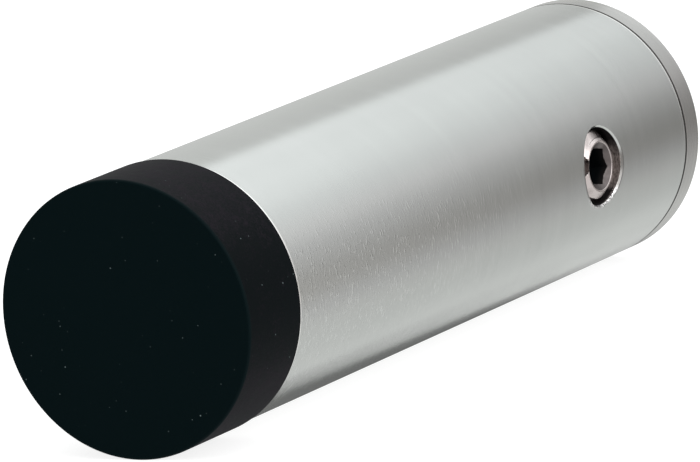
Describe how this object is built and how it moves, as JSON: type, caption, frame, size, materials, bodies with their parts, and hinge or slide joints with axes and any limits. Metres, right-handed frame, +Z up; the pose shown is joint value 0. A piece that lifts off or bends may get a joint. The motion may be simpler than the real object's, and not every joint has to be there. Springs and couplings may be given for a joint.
{
  "type": "wall mounted door stop",
  "caption": "Wall-mounted cylindrical door stop: satin steel sleeve with a black rubber buffer, clamped on a hidden wall spigot by a recessed set screw.",
  "frame": {"origin": "centre of the base disc's back face, on the wall, where the wall screw passes", "axes": "+Y along the stop's axis into the wall, so the stop stands out towards -Y; +Z up; the set screw faces +X"},
  "size_m": [0.0304, 0.105, 0.0304],
  "materials": {
    "satin_tube": "satin, fine turning marks round the axis",
    "satin_disc": "satin with bright chamfers",
    "spigot": "turned",
    "bush": "turned",
    "zinc_plated_steel": "zinc plated",
    "screw_steel": "turned, bright edges",
    "rubber": "matt black, moulded"
  },
  "bodies": {
    "base": {"base_disc": "satin_disc", "base_spigot": "spigot"},
    "sleeve": {"body_tube": "satin_tube", "rear_bush": "bush", "front_plug": "bush", "bonding_plate": "zinc_plated_steel", "buffer_stud": "zinc_plated_steel"},
    "screw": {"set_screw": "screw_steel"},
    "buffer": {"rubber_buffer": "rubber"}
  },
  "joints": [
    {"name": "sleeve_slide", "type": "slide", "parent": "base", "child": "sleeve", "axis": [0, -1, 0], "range_m": [0, 0.04]},
    {"name": "set_screw_travel", "type": "slide", "parent": "sleeve", "child": "screw", "axis": [1, 0, 0], "range_m": [0, 0.005]},
    {"name": "buffer_compression", "type": "slide", "parent": "sleeve", "child": "buffer", "axis": [0, 1, 0], "range_m": [0, 0.002], "stiffness_N_per_m": 300000, "deforming": ["rubber_buffer"]}
  ]
}
